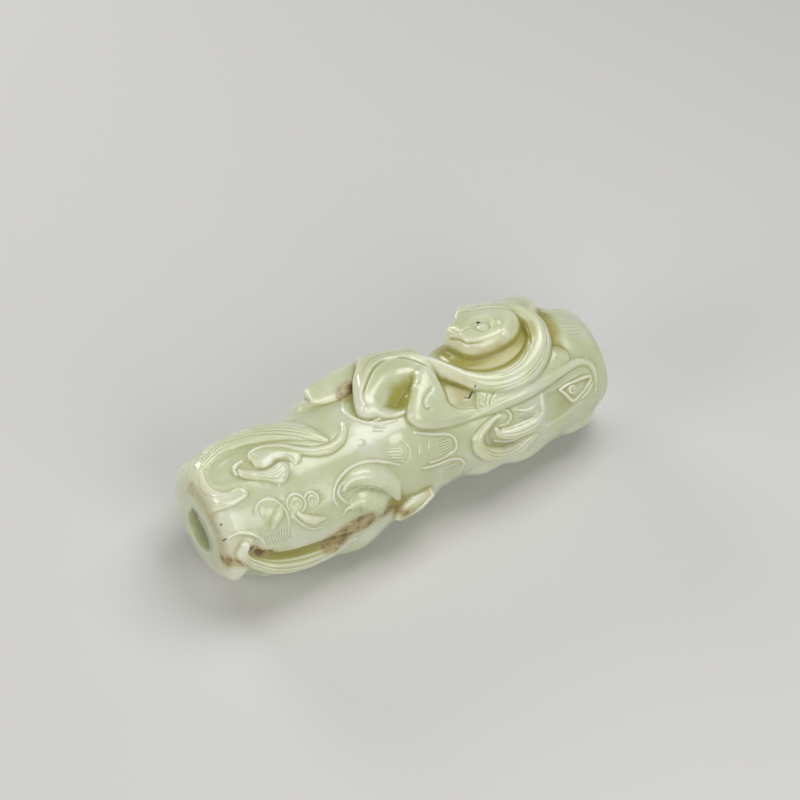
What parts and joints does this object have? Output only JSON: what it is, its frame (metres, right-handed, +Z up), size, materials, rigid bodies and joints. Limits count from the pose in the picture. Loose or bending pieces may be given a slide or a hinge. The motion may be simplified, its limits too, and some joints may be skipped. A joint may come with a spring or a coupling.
{
  "type": "carved jade tube",
  "caption": "Carved jade tube with a bore through its length and a coiled dragon in high relief, lying on its underside.",
  "frame": {"origin": "on the surface the tube lies on, below the middle of its length and width", "axes": "+X along the tube towards the mask, +Y to the far side, +Z up through the dragon"},
  "size_m": [0.0892, 0.033, 0.0324],
  "materials": {
    "celadon_jade": "polished pale celadon nephrite with brown stain in the hollows"
  },
  "bodies": {
    "root": {"jade_tube": "celadon_jade"}
  },
  "joints": []
}
